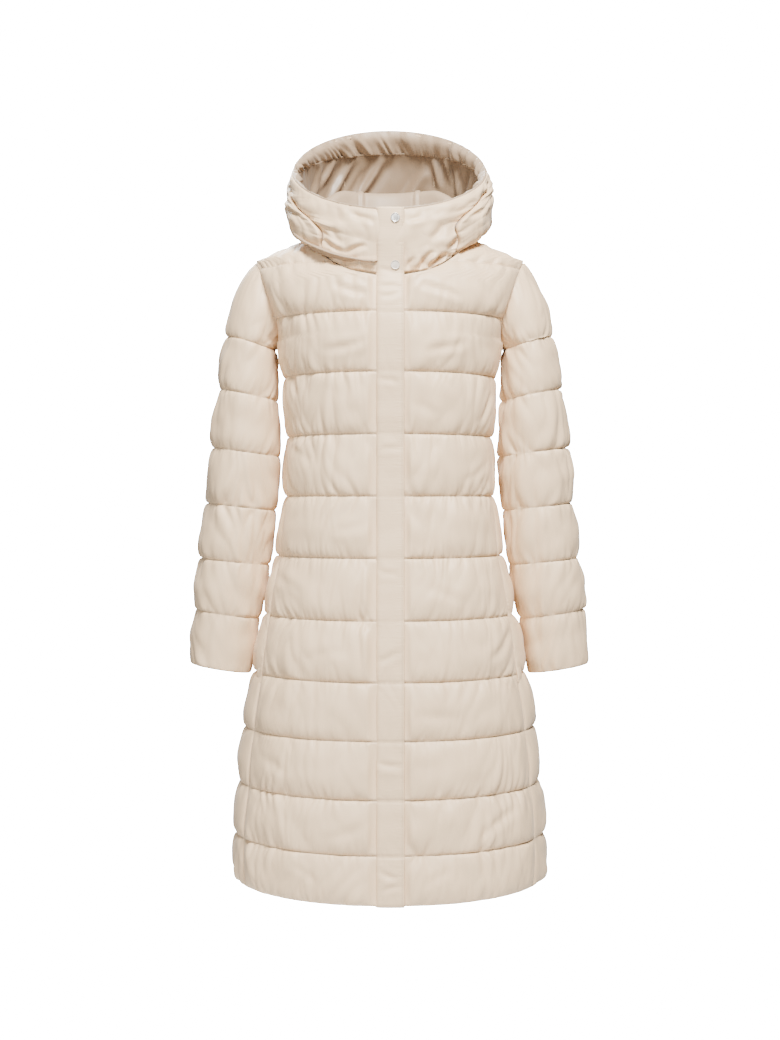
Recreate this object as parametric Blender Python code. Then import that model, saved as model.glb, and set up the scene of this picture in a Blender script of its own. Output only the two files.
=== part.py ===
"""Long hooded puffer coat, filled out as if worn, with its hood standing open round the neck.

Metres, +Z up. The front faces -Y and the wearer's left is +X. The origin is at the base of the
neck, where a wearer holds the coat up. Every cloth piece is a wall between two offset surfaces.
"""

import math

import bmesh
import bpy
from mathutils import Vector

OBJECT_NAME = "long_puffer_coat"

SEAM_GAP = 0.0003  # clear space left between two pieces sewn together
GAP_ANGLE = 0.001  # the same space as an angle round the body
HOOD_GAP, ARM_GAP = 0.0072, 0.0016  # where the pieces meet on a sharper curve
WALL = 0.003  # two layers of cloth pressed together along a stitched line
ROUNDNESS = 2.3  # power of the body's rounded-rectangle section

# Levels of the stitched lines at the centre front, hem to shoulder.
QUILT_LINES = (-1.013, -0.9395, -0.8588, -0.773, -0.6872, -0.5969, -0.5046,
               -0.412, -0.3196, -0.2268, -0.137, -0.058, -0.003)
YOKE, NECK_TOP = QUILT_LINES[-2], QUILT_LINES[-1]
WAIST, SIDE_LIFT = -0.412, 0.02  # the lines fan out a little from the waist towards the sides
NECK_FRONT, NECK_SECOND, SHOULDER, UNDERARM = -0.084, -0.074, -0.044, -0.172

# Outer surface along the stitched lines: level, half width, depth in front, depth behind.
BODY = (
    (-1.013, 0.233, 0.168, 0.158),
    (-0.940, 0.2355, 0.166, 0.156),
    (-0.859, 0.229, 0.163, 0.152),
    (-0.773, 0.221, 0.159, 0.148),
    (-0.687, 0.206, 0.153, 0.142),
    (-0.597, 0.190, 0.145, 0.133),
    (-0.505, 0.172, 0.136, 0.122),
    (-0.412, 0.160, 0.131, 0.114),
    (-0.320, 0.157, 0.131, 0.113),
    (-0.227, 0.162, 0.135, 0.120),
    (-0.172, 0.167, 0.137, 0.125),
    (-0.137, 0.170, 0.134, 0.127),
    (-0.110, 0.172, 0.129, 0.125),
    (-0.084, 0.174, 0.121, 0.120),
    (-0.058, 0.176, 0.106, 0.112),
    (-0.044, 0.178, 0.093, 0.106),
    (-0.030, 0.178, 0.075, 0.099),
    (-0.012, 0.178, 0.043, 0.091),
    (-0.003, 0.178, 0.018, 0.084),
)
# How far the side seam lies in front of the coat's widest line: level, distance.
SIDE_SEAM = ((-1.013, 0.072), (-0.75, 0.070), (-0.6, 0.055), (-0.4, 0.032), (-0.172, 0.0005))

ARMHOLE_MIDDLE, ARMHOLE_HALF = (SHOULDER + UNDERARM) / 2, (SHOULDER - UNDERARM) / 2
ARMHOLE_DEPTH, ARM_LINE = 0.058, 0.004  # half depth, and how far behind the origin it is centred
ARMPIT_X, SHOULDER_X, ARMHOLE_BEND = 0.167, 0.207, 1.4
NECK_X, NECK_DROP = 0.118, 0.081

# Levels of the rows of corners, in the channels that the armhole and the neck cut.
SHAPED_LEVELS = (-0.200, UNDERARM, -0.168, -0.157, -0.137, -0.110, NECK_FRONT, NECK_SECOND,
                 YOKE, SHOULDER, -0.030, -0.012, NECK_TOP)
ARM_LEVELS = tuple(level for level in SHAPED_LEVELS if UNDERARM <= level <= SHOULDER)

BODY_PUFF, INNER_PUFF, YOKE_PUFF = 0.009, 0.006, 0.003

# Stitched rings of a sleeve, shoulder to cuff: where its outer and its inner edge lie, the half
# depth and the place from front to back.
SLEEVE = (
    # outer x, outer z, inner x, inner z, half depth, y
    (0.2500, -0.1655, 0.1760, -0.1870, 0.064, 0.006),
    (0.2640, -0.2465, 0.1735, -0.2650, 0.066, 0.008),
    (0.2750, -0.3370, 0.1700, -0.3510, 0.065, 0.012),
    (0.2830, -0.4227, 0.1770, -0.4340, 0.062, 0.016),
    (0.2930, -0.5075, 0.1870, -0.5180, 0.059, 0.018),
    (0.3020, -0.5870, 0.2020, -0.6010, 0.055, 0.019),
    (0.3110, -0.6715, 0.2150, -0.6870, 0.051, 0.020),
)
SLEEVE_PUFF, CAP_PUFF, CUFF_PUFF = 0.006, 0.012, 0.003
CAP_STEPS, SLEEVE_STEPS = 4, 2

# Rings of the hood's outer face, neck to rim. Behind the neck it stands up, folds back over a
# ridge, dips into a pouch and rises again.
HOOD = (
    # side: half width, y, z; back: half width, y, z; front y; how sharply the fold begins
    (0.1180, 0.004, -0.003, 0.118, 0.088, -0.003, -0.117, 1.0),
    (0.1310, 0.006, -0.003, 0.108, 0.098, 0.030, -0.119, 1.0),
    (0.1450, 0.008, 0.005, 0.106, 0.109, 0.0655, -0.120, 1.0),
    (0.1505, 0.010, 0.017, 0.112, 0.127, 0.042, -0.121, 1.0),
    (0.1520, 0.011, 0.032, 0.128, 0.154, -0.003, -0.122, 1.0),
    (0.1525, 0.012, 0.049, 0.150, 0.203, 0.045, -0.122, 0.5),
    (0.1520, 0.013, 0.070, 0.155, 0.194, 0.125, -0.122, 0.2),
    (0.1500, 0.014, 0.0935, 0.150, 0.158, 0.183, -0.121, 0.0),
)
COLLAR_TOP = 0.0165
NECK_SQUARENESS, RIM_SQUARENESS = 0.55, 0.8  # powers of a cosine: under 1 the front is squarer
HOOD_WALL, LINING_GAP, LINING_WALL = 0.004, 0.0009, 0.001
HOOD_STEPS = 2  # rows of corners from one ring to the next
COLLAR_SEAM, COLLAR_SEAM_LEAN, GUSSET = math.radians(50), math.radians(45), math.radians(150)
COLLAR_COLUMNS, HOOD_COLUMNS, GUSSET_COLUMNS = 4, 7, 3
RIM_WALL, RIM_FROM, RIM_COLUMN = 0.011, 0.87, 3

PLACKET_HALF, PLACKET_WALL, FLAT_HALF = 0.0225, 0.003, 0.027
ZIP_HALF, ZIP_WALL = 0.013, 0.0015
SNAP_X, SNAP_RADIUS, SNAP_WALL, SNAP_LEVELS = 0.0087, 0.007, 0.0022, (0.0015, -0.0684)
WELT_LEVELS, WELT_WIDTH, WELT_WALL, WELT_CLEAR = (-0.70, -0.54), 0.35, 0.002, 0.003
FRONT_COLUMNS, BACK_COLUMNS, ROWS_PER_CHANNEL = 5, 14, 2

SHELL_COLOUR = (0.68, 0.60, 0.51, 1)
LINING_COLOUR = (0.46, 0.39, 0.32, 1)
SNAP_COLOUR = (0.80, 0.77, 0.72, 1)
TONE_SNAP_COLOUR = (0.62, 0.56, 0.48, 1)
ZIP_COLOUR = (0.55, 0.48, 0.40, 1)


def smooth_table(table, at):
    """The columns of a table at a value between its first column's, on a smooth curve."""
    keys = [row[0] for row in table]
    at = min(max(at, keys[0]), keys[-1])
    i = max(k for k in range(len(keys) - 1) if keys[k] <= at)
    near, far = table[i], table[i + 1]
    before, after = table[max(i - 1, 0)], table[min(i + 2, len(table) - 1)]
    span = far[0] - near[0]
    s = (at - near[0]) / span
    values = []
    for column in range(1, len(near)):
        start = (far[column] - before[column]) / (far[0] - before[0]) * span
        end = (after[column] - near[column]) / (after[0] - near[0]) * span
        a, b = near[column], far[column]
        values.append(a + s * (start + s * (3 * (b - a) - 2 * start - end + s * (2 * (a - b) + start + end))))
    return values


def mix(a, b, share):
    return a + (b - a) * share


def smooth_step(value):
    value = min(max(value, 0.0), 1.0)
    return value * value * (3 - 2 * value)


def power(value, exponent):
    return math.copysign(abs(value) ** exponent, value)


# ---- the body ----

def armhole_edge(level, back):
    """x and y of the armhole, or of the shoulder line above it, at a level."""
    if level >= SHOULDER:
        return mix(SHOULDER_X, NECK_X, (level - SHOULDER) / (NECK_TOP - SHOULDER)), ARM_LINE
    height = (level - ARMHOLE_MIDDLE) / ARMHOLE_HALF
    x = ARMPIT_X + (SHOULDER_X - ARMPIT_X) * ((1 + height) / 2) ** ARMHOLE_BEND
    reach = ARMHOLE_DEPTH * math.sqrt(max(0.0, 1 - height * height))
    return x, ARM_LINE + (reach if back else -reach)


def section(level, back):
    """Half width, depth, y of the widest line, and the angle at the panel's outer edge."""
    half, front_depth, back_depth = smooth_table(BODY, level)
    depth = back_depth if back else front_depth
    if level <= UNDERARM:
        seam, = smooth_table(SIDE_SEAM, level)
        return half, depth, 0.0, math.acos((seam / front_depth) ** (ROUNDNESS / 2))
    x, y = armhole_edge(level, back)
    inset = abs(y - ARM_LINE) / (depth + (-ARM_LINE if back else ARM_LINE))
    half = x / (1 - inset ** ROUNDNESS) ** (1 / ROUNDNESS)
    edge = math.asin(min(1.0, (x / half) ** (ROUNDNESS / 2)))
    return half, depth, ARM_LINE, math.pi - edge if back else edge


def neck_x(level):
    """Half width of the neck seam at a level."""
    cosine = min(1.0, (NECK_TOP - level) / NECK_DROP)
    return NECK_X * math.sqrt(1 - cosine * cosine)


def body_point(level, angle, back):
    """The coat's outer surface along its stitching; the angle runs from centre front to back."""
    half, depth, middle, _ = section(level, back)
    front_depth = smooth_table(BODY, level)[1]
    x = half * power(math.sin(angle), 2 / ROUNDNESS)
    if math.cos(angle) > 0:
        y = middle - (front_depth + middle) * power(math.cos(angle), 2 / ROUNDNESS)
    else:
        y = middle - (depth - middle) * power(math.cos(angle), 2 / ROUNDNESS)
    z = level + SIDE_LIFT * (WAIST - level) * math.sin(angle) ** 2
    return Vector((x, y, z))


def body_normal(level, angle, back):
    step = 0.002
    round_it = body_point(level, angle + step, back) - body_point(level, angle - step, back)
    up = body_point(min(level + step, NECK_TOP), angle, back) - body_point(level - step, angle, back)
    return round_it.cross(up).normalized()


def puff_at(level, edges):
    """Share of the full puff at a level: none on a stitched line, fullest below the middle."""
    for low, high in zip(edges, edges[1:]):
        if low <= level <= high:
            rise = (level - low) / (high - low)
            return (4 * rise * (1 - rise)) ** 0.6 * (1.06 - 0.12 * rise)
    return 0.0


def panel_levels():
    levels = []
    for low, high in zip(QUILT_LINES, QUILT_LINES[1:]):
        if high > SHAPED_LEVELS[0]:
            break
        levels += [mix(low, high, k / ROWS_PER_CHANNEL) for k in range(ROWS_PER_CHANNEL)]
    return [*levels, QUILT_LINES[-4], *SHAPED_LEVELS]


def front_angles(level):
    """Angles of the columns of a front panel: the edge, the placket's line, then even steps."""
    half, _, _, edge = section(level, False)
    inner = neck_x(level) if level > NECK_FRONT else 0.0
    start = math.asin(min(1.0, inner / half) ** (ROUNDNESS / 2)) + GAP_ANGLE
    edge -= GAP_ANGLE
    flat = math.asin((FLAT_HALF / half) ** (ROUNDNESS / 2))
    flat = max(flat, mix(start, edge, 0.1))
    steps = [mix(flat, edge, k / FRONT_COLUMNS) for k in range(FRONT_COLUMNS + 1)]
    return [start, *steps]


def back_angles(level):
    edge = section(level, True)[3] + GAP_ANGLE
    half = BACK_COLUMNS // 2
    return [mix(edge, math.pi, k / half) for k in range(half + 1)]


def wall_places(level, angle, back, share, side):
    """Outer and inner corner of a body panel's wall, for a share of the full puff."""
    point, normal = body_point(level, angle, back), body_normal(level, angle, back)
    full = puff_at(level, QUILT_LINES) * share
    out = full * (YOKE_PUFF if level > YOKE else BODY_PUFF)
    inside = WALL + full * (YOKE_PUFF if level > YOKE else INNER_PUFF)
    places = point + normal * out, point - normal * inside
    return [Vector((side * place.x, place.y, place.z)) for place in places]


# ---- making a wall ----

def cloth_material(name, colour, roughness=0.6, metallic=0.0):
    material = bpy.data.materials.new(name)
    material.use_nodes = True
    shader = material.node_tree.nodes["Principled BSDF"]
    shader.inputs["Base Color"].default_value = colour
    shader.inputs["Roughness"].default_value = roughness
    shader.inputs["Metallic"].default_value = metallic
    return material


def add_object(name, bm, material, collection):
    bmesh.ops.recalc_face_normals(bm, faces=bm.faces[:])
    mesh = bpy.data.meshes.new(name)
    bm.to_mesh(mesh)
    bm.free()
    mesh.shade_smooth()
    mesh.materials.append(material)
    obj = bpy.data.objects.new(name, mesh)
    collection.objects.link(obj)
    return obj


def cloth_wall(name, rows, material, collection, closed=False):
    """A closed wall from rows of (outer, inner) corners. A closed one joins its last column to its
    first, as round a sleeve."""
    columns = len(rows[0]) - (0 if closed else 1)
    bm = bmesh.new()
    bmesh.ops.create_grid(bm, x_segments=columns, y_segments=len(rows) - 1, size=0.5)
    layer = bm.verts.layers.float_vector.new("inner")
    for vert in bm.verts:
        column, row = round((vert.co.x + 0.5) * columns), round((vert.co.y + 0.5) * (len(rows) - 1))
        vert.co, vert[layer] = rows[row][column % len(rows[0])]
    if closed:
        bmesh.ops.remove_doubles(bm, verts=bm.verts[:], dist=1e-6)
    bmesh.ops.triangulate(bm, faces=bm.faces[:], quad_method="FIXED")
    lifted = bmesh.ops.extrude_face_region(bm, geom=bm.faces[:])["geom"]
    for vert in lifted:
        if isinstance(vert, bmesh.types.BMVert):
            vert.co = vert[layer]
    bm.verts.layers.float_vector.remove(layer)
    return add_object(name, bm, material, collection)


def one_way(rows, side):
    """Rows of a piece from either side, with their columns in the order that a whole band has, so
    that layers over each other are cut into the same triangles."""
    return [row[::-1] for row in rows] if side < 0 else rows


def front_panel(name, side, material, collection):
    shares = [0.0, 0.1, *[0.9] * (FRONT_COLUMNS - 1), 0.0]
    rows = [[wall_places(level, angle, False, share, side)
             for angle, share in zip(front_angles(level), shares)] for level in panel_levels()]
    return cloth_wall(name, one_way(rows, side), material, collection)


def back_panel(name, material, collection):
    rows = []
    for level in panel_levels():
        angles = back_angles(level)
        shares = [0.0] + [0.9] * (len(angles) - 1)
        left = [wall_places(level, a, True, s, 1) for a, s in zip(angles, shares)]
        right = [wall_places(level, a, True, s, -1) for a, s in zip(angles, shares)]
        rows.append(left + right[-2::-1])
    return cloth_wall(name, rows, material, collection)


# ---- the sleeves ----

def armhole_loop():
    """(outer, inner) corners round the armhole, from the shoulder down the front and up the back."""
    corners = []
    for back, levels in ((False, ARM_LEVELS[:0:-1]), (True, ARM_LEVELS[:-1])):
        for level in levels:
            edge = section(level, back)[3]
            places = wall_places(level, edge, back, 0.0, 1)
            corners.append([place + Vector((ARM_GAP, 0, 0)) for place in places])
    return corners


def sleeve_turns():
    """How far round the sleeve each column lies, as on the armhole it is sewn to."""
    front = [math.acos((level - ARMHOLE_MIDDLE) / ARMHOLE_HALF) for level in ARM_LEVELS[:0:-1]]
    behind = [2 * math.pi - math.acos((level - ARMHOLE_MIDDLE) / ARMHOLE_HALF)
              for level in ARM_LEVELS[:-1]]
    return front + behind


def sleeve_point(ring, turn):
    """The sleeve's outer surface: ring 0 is the first stitched ring, whole numbers the others."""
    outer_x, outer_z, inner_x, inner_z, deep, y = smooth_table(
        [(k, *row) for k, row in enumerate(SLEEVE)], ring)
    outer, inner = Vector((outer_x, y, outer_z)), Vector((inner_x, y, inner_z))
    return (outer + inner) / 2 + (outer - inner) / 2 * math.cos(turn) - Vector((0, deep * math.sin(turn), 0))


def sleeve_normal(ring, turn):
    step = 0.02
    last = len(SLEEVE) - 1
    along = sleeve_point(min(ring + step, last), turn) - sleeve_point(max(ring - step, 0), turn)
    round_it = sleeve_point(ring, turn + step) - sleeve_point(ring, turn - step)
    return round_it.cross(along).normalized()


def sleeve_wall(name, side, material, collection):
    turns = sleeve_turns()
    seam, first = armhole_loop(), [sleeve_point(0, turn) for turn in turns]
    rows = [seam]
    for k in range(1, CAP_STEPS):
        share = k / CAP_STEPS
        row = []
        for (outer, _), end, turn in zip(seam, first, turns):
            normal = sleeve_normal(0, turn)
            top = (1 + math.cos(turn)) / 2
            swell = CAP_PUFF * top * (4 * share * (1 - share)) ** 0.7
            middle = outer.lerp(end, share)
            row.append((middle + normal * swell, middle - normal * (WALL + INNER_PUFF * top * share)))
        rows.append(row)
    count = len(SLEEVE) - 1
    for k in range(count * SLEEVE_STEPS + 1):
        ring, inside_channel = k / SLEEVE_STEPS, k % SLEEVE_STEPS > 0
        row = []
        for turn in turns:
            point, normal = sleeve_point(ring, turn), sleeve_normal(ring, turn)
            full = SLEEVE_PUFF if ring < count - 1 else CUFF_PUFF
            full *= inside_channel * (0.35 + 0.65 * (1 + math.cos(turn)) / 2)
            row.append((point + normal * full, point - normal * (WALL + full)))
        rows.append(row)
    mirrored = [[[Vector((side * p.x, p.y, p.z)) for p in pair] for pair in row] for row in rows]
    return cloth_wall(name, mirrored, material, collection, closed=True)


# ---- the hood ----

def neck_point(angle):
    """A point of the neck seam in front, on the body's surface."""
    level = NECK_TOP - NECK_DROP * math.cos(angle)
    inner = math.asin(min(1.0, neck_x(level) / section(level, False)[0]) ** (ROUNDNESS / 2))
    return body_point(level, inner, False)


def hood_ring(index, angle):
    """A point of one of the hood's rings; the angle runs from centre front to centre back."""
    side_x, side_y, side_z, back_x, back_y, back_z, front_y, sharp = HOOD[index]
    sine, cosine = math.sin(angle), math.cos(angle)
    if index == 0:
        second = math.acos((NECK_TOP - NECK_SECOND) / NECK_DROP)
        if angle < second:
            return neck_point(0.0).lerp(neck_point(second), sine / math.sin(second))
        if cosine > 0:
            return neck_point(angle)
        return body_point(NECK_TOP, angle, True)
    if cosine > 0:
        height = index / (len(HOOD) - 1)
        front_z = mix(NECK_FRONT, COLLAR_TOP, height)
        forward = cosine ** mix(NECK_SQUARENESS, RIM_SQUARENESS, height)
        return Vector((side_x * sine, mix(side_y, front_y, forward), mix(side_z, front_z, cosine)))
    behind = mix(-cosine, smooth_step(-cosine), sharp)
    width = mix(side_x, back_x, smooth_step(-cosine / 0.7))
    return Vector((width * sine, mix(side_y, back_y, -cosine), mix(side_z, back_z, behind)))


def hood_point(angle, height):
    """The hood's outer face, height running from 0 at the neck seam to 1 at the rim."""
    table = [(k / (len(HOOD) - 1), *hood_ring(k, angle)) for k in range(len(HOOD))]
    return Vector(smooth_table(table, height))


def hood_normal(angle, height):
    """Outward, evened over a little of the surface so that offset layers stay parallel."""
    step = 0.08
    height = min(max(height, step), 1 - step)
    up = hood_point(angle, height + step) - hood_point(angle, height - step)
    round_it = hood_point(angle + step, height) - hood_point(angle - step, height)
    return round_it.cross(up).normalized()


def hood_angles(height, start):
    """Angles of the hood's columns in one half: the collar, the side and the gusset. At the neck
    they are the body's own columns there."""
    seam = COLLAR_SEAM + COLLAR_SEAM_LEAN * height
    flat = math.asin(FLAT_HALF / HOOD[3][0])
    even = ([start, *(mix(flat, seam, k / (COLLAR_COLUMNS - 1)) for k in range(COLLAR_COLUMNS - 1))]
            + [mix(seam, GUSSET, k / HOOD_COLUMNS) for k in range(HOOD_COLUMNS)]
            + [mix(GUSSET, math.pi, k / GUSSET_COLUMNS) for k in range(GUSSET_COLUMNS + 1)])
    levels = [level for level in SHAPED_LEVELS if level >= NECK_FRONT]
    half = BACK_COLUMNS // 2
    neck = ([math.acos((NECK_TOP - level) / NECK_DROP) for level in levels]
            + [mix(math.pi / 2, math.pi, k / half) for k in range(1, half + 1)])
    neck = [start, math.asin(FLAT_HALF / NECK_X), *neck[1:]]
    return [mix(low, high, smooth_step(height * 2.5)) for low, high in zip(neck, even)]


def hood_heights():
    count = (len(HOOD) - 1) * HOOD_STEPS
    return [k / count for k in range(count + 1)]


def hood_places(angle, height, outer, inner, side):
    """Corners of a wall on the hood, given as depths under its outer face."""
    point, normal = hood_point(angle, height), hood_normal(angle, height)
    if angle < 2 * GAP_ANGLE:
        normal = Vector((0, normal.y, normal.z)).normalized()
    point = point + Vector((0, 0, 2 * SEAM_GAP * (1 - height)))
    places = point - normal * outer, point - normal * inner
    return [Vector((side * place.x, place.y, place.z)) for place in places]


def hood_piece(name, side, first, last, material, collection):
    """A piece of the hood's shell between two of its columns."""
    rows = []
    for height in hood_heights():
        angles = hood_angles(height, GAP_ANGLE)[first:last + 1]
        angles = [angles[0] + (HOOD_GAP if first else 0), *angles[1:-1], angles[-1] - HOOD_GAP]
        rows.append([hood_places(angle, height, 0, HOOD_WALL, side) for angle in angles])
    return cloth_wall(name, one_way(rows, side), material, collection)


def hood_gusset(name, material, collection):
    first = COLLAR_COLUMNS + HOOD_COLUMNS
    rows = []
    for height in hood_heights():
        angles = hood_angles(height, GAP_ANGLE)[first:]
        angles[0] += HOOD_GAP
        left = [hood_places(angle, height, 0, HOOD_WALL, 1) for angle in angles]
        right = [hood_places(angle, height, 0, HOOD_WALL, -1) for angle in angles]
        rows.append(left + right[-2::-1])
    return cloth_wall(name, rows, material, collection)


def hood_band(name, heights, start_column, depths, material, collection):
    """A layer inside the hood's shell, from one side of the front round to the other."""
    rows = []
    for height in heights:
        clear_of_zip = math.asin((ZIP_HALF + 0.003) / hood_ring(4, math.pi / 2).x)
        angles = hood_angles(height, clear_of_zip)[start_column:]
        left = [hood_places(angle, height, *depths, 1) for angle in angles]
        right = [hood_places(angle, height, *depths, -1) for angle in angles]
        rows.append(left + right[-2::-1])
    return cloth_wall(name, rows, material, collection)


# ---- trims ----

def centre_strip(name, half, body_depths, hood_depths, top_level, first_hood_row, material, collection):
    """A strip up the centre front, as (outer, inner) depths under the body's and the hood's face."""
    outer_body, inner_body = body_depths
    rows = []
    for level in panel_levels():
        if level > top_level:
            break
        angle = math.asin((half / section(level, False)[0]) ** (ROUNDNESS / 2))
        row = []
        for side, turn in ((-1, angle), (1, 0.0), (1, angle)):
            point, normal = body_point(level, turn, False), body_normal(level, max(turn, 0.003), False)
            row.append([Vector((side * p.x, p.y, p.z))
                        for p in (point - normal * outer_body, point - normal * inner_body)])
        rows.append(row)
    for height in hood_heights()[first_hood_row:]:
        angle = math.asin(half / hood_ring(4, math.pi / 2).x)
        rows.append([hood_places(turn, height, *hood_depths, side)
                     for side, turn in ((-1, angle), (1, 0.0), (1, angle))])
    return cloth_wall(name, rows, material, collection)


def pocket_welt(name, side, material, collection):
    rows = []
    for level in panel_levels():
        if not WELT_LEVELS[0] <= level <= WELT_LEVELS[1]:
            continue
        first, second = back_angles(level)[:2]
        near = wall_places(level, first, True, 0.0, side)[0]
        far = wall_places(level, second, True, 0.9, side)[0]
        normal = body_normal(level, first, True)
        normal.x *= side
        row = []
        for share, clear in ((0.03, WELT_CLEAR / 3), (WELT_WIDTH, WELT_CLEAR)):
            place = near.lerp(far, share)
            row.append((place + normal * (clear + WELT_WALL), place + normal * clear))
        rows.append(row)
    return cloth_wall(name, one_way(rows, side), material, collection)


def snap_cap(name, level, surface, normal, material, collection):
    bm = bmesh.new()
    bmesh.ops.create_cone(bm, cap_ends=True, segments=24, radius1=SNAP_RADIUS,
                          radius2=SNAP_RADIUS * 0.8, depth=SNAP_WALL)
    place = Vector((SNAP_X, surface, level)) + normal * (SNAP_WALL / 2 + 2 * SEAM_GAP)
    obj = add_object(name, bm, material, collection)
    obj.data.set_sharp_from_angle(angle=math.radians(40))
    obj.location = place
    obj.rotation_euler = normal.to_track_quat("Z", "Y").to_euler()
    return obj


def placket_face(level, outside):
    """y and normal of the placket's outer face on the collar at a level."""
    low, high = 0.0, 1.0
    for _ in range(30):
        middle = (low + high) / 2
        low, high = (middle, high) if hood_point(0.0, middle).z < level else (low, middle)
    point = hood_point(0.0, low)
    return point.y - outside, hood_normal(0.003, min(max(low, 0.02), 0.98))


def clear_scene():
    for obj in list(bpy.data.objects):
        bpy.data.objects.remove(obj, do_unlink=True)


def main():
    clear_scene()
    coat = bpy.data.collections.new(OBJECT_NAME)
    bpy.context.scene.collection.children.link(coat)
    shell = cloth_material("shell", SHELL_COLOUR)
    lining = cloth_material("lining", LINING_COLOUR)
    metal = cloth_material("snap_metal", SNAP_COLOUR, 0.3, 0.6)
    tone = cloth_material("snap_tone", TONE_SNAP_COLOUR, 0.45)
    tape = cloth_material("zip_tape", ZIP_COLOUR)

    back_panel("back", shell, coat)
    gusset = COLLAR_COLUMNS + HOOD_COLUMNS
    for hand, side in (("right", -1), ("left", 1)):
        front_panel(f"front_{hand}", side, shell, coat)
        sleeve_wall(f"sleeve_{hand}", side, shell, coat)
        hood_piece(f"collar_{hand}", side, 0, COLLAR_COLUMNS, shell, coat)
        hood_piece(f"hood_{hand}", side, COLLAR_COLUMNS, gusset, shell, coat)
        pocket_welt(f"pocket_welt_{hand}", side, shell, coat)
    hood_gusset("hood_back", shell, coat)
    under_shell = HOOD_WALL + LINING_GAP
    lined = [height for height in hood_heights() if height < RIM_FROM]
    hood_band("hood_lining", lined, 0, (under_shell, under_shell + LINING_WALL), lining, coat)
    banded = [height for height in hood_heights() if height > RIM_FROM]
    hood_band("hood_rim", banded, RIM_COLUMN, (under_shell, under_shell + RIM_WALL), shell, coat)

    over = 0.0015  # room for the little puff under the placket
    outside = SEAM_GAP * 2 + PLACKET_WALL
    centre_strip("placket", PLACKET_HALF, (-over - PLACKET_WALL, -over), (-outside, -SEAM_GAP * 2),
                 NECK_FRONT, 1, shell, coat)
    under_body, under_collar = WALL + 0.0013, under_shell + SEAM_GAP
    centre_strip("front_zip", ZIP_HALF, (under_body, under_body + ZIP_WALL),
                 (under_collar, under_collar + ZIP_WALL), NECK_FRONT - 0.02, 0, tape, coat)
    for name, level, material in zip(("snap_upper", "snap_lower"), SNAP_LEVELS, (metal, tone)):
        snap_cap(name, level, *placket_face(level, outside), material, coat)


main()
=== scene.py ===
import math

import bmesh
import bpy
import numpy as np
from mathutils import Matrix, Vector


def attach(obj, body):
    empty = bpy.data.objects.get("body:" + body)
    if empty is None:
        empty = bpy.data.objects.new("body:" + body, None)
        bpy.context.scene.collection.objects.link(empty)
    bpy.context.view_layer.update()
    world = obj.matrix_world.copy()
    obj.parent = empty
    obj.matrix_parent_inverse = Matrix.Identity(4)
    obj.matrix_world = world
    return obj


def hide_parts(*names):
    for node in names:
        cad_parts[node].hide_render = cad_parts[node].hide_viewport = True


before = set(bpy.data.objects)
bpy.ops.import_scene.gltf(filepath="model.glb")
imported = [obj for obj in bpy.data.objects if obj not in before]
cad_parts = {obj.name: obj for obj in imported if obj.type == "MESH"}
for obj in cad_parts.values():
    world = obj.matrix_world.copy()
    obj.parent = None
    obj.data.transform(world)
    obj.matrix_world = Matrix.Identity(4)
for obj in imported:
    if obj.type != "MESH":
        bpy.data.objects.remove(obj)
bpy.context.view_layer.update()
print("coat: frame loaded")

# The coat's outline, the same figures as the solid part is cut to. Metres.
quiltLines = np.array([-1.013, -0.9395, -0.8588, -0.773, -0.6872, -0.5969, -0.5046,
                       -0.412, -0.3196, -0.2268, -0.137, -0.058, -0.003])
neckTop, waistLine, sideLift = -0.003, -0.412, 0.02
neckFront, neckSecond, shoulderLine, underarm = -0.084, -0.074, -0.044, -0.172
roundness = 2.3
# level, half width, depth in front, depth behind
bodyTable = np.array([
    (-1.013, 0.233, 0.168, 0.158), (-0.940, 0.2355, 0.166, 0.156), (-0.859, 0.229, 0.163, 0.152),
    (-0.773, 0.221, 0.159, 0.148), (-0.687, 0.206, 0.153, 0.142), (-0.597, 0.190, 0.145, 0.133),
    (-0.505, 0.172, 0.136, 0.122), (-0.412, 0.160, 0.131, 0.114), (-0.320, 0.157, 0.131, 0.113),
    (-0.227, 0.162, 0.135, 0.120), (-0.172, 0.167, 0.137, 0.125), (-0.137, 0.170, 0.134, 0.127),
    (-0.110, 0.172, 0.129, 0.125), (-0.084, 0.174, 0.121, 0.120), (-0.058, 0.176, 0.106, 0.112),
    (-0.044, 0.178, 0.093, 0.106), (-0.030, 0.178, 0.075, 0.099), (-0.012, 0.178, 0.043, 0.091),
    (-0.003, 0.178, 0.018, 0.084)])
# level, how far forward the side seam lies
sideSeamTable = np.array([(-1.013, 0.072), (-0.75, 0.070), (-0.6, 0.055), (-0.4, 0.032), (-0.172, 0.0005)])
armholeMiddle, armholeHalf, armholeDepth, armLine = -0.108, 0.064, 0.058, 0.004
armpitX, shoulderX, armholeBend, neckX, neckDrop = 0.167, 0.207, 1.4, 0.118, 0.081
# outer x and z, inner x and z, half depth, y of each stitched ring round the sleeve
sleeveTable = np.array([
    (0.2500, -0.1655, 0.1760, -0.1870, 0.064, 0.006), (0.2640, -0.2465, 0.1735, -0.2650, 0.066, 0.008),
    (0.2750, -0.3370, 0.1700, -0.3510, 0.065, 0.012), (0.2830, -0.4227, 0.1770, -0.4340, 0.062, 0.016),
    (0.2930, -0.5075, 0.1870, -0.5180, 0.059, 0.018), (0.3020, -0.5870, 0.2020, -0.6010, 0.055, 0.019),
    (0.3110, -0.6715, 0.2150, -0.6870, 0.051, 0.020)])
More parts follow.
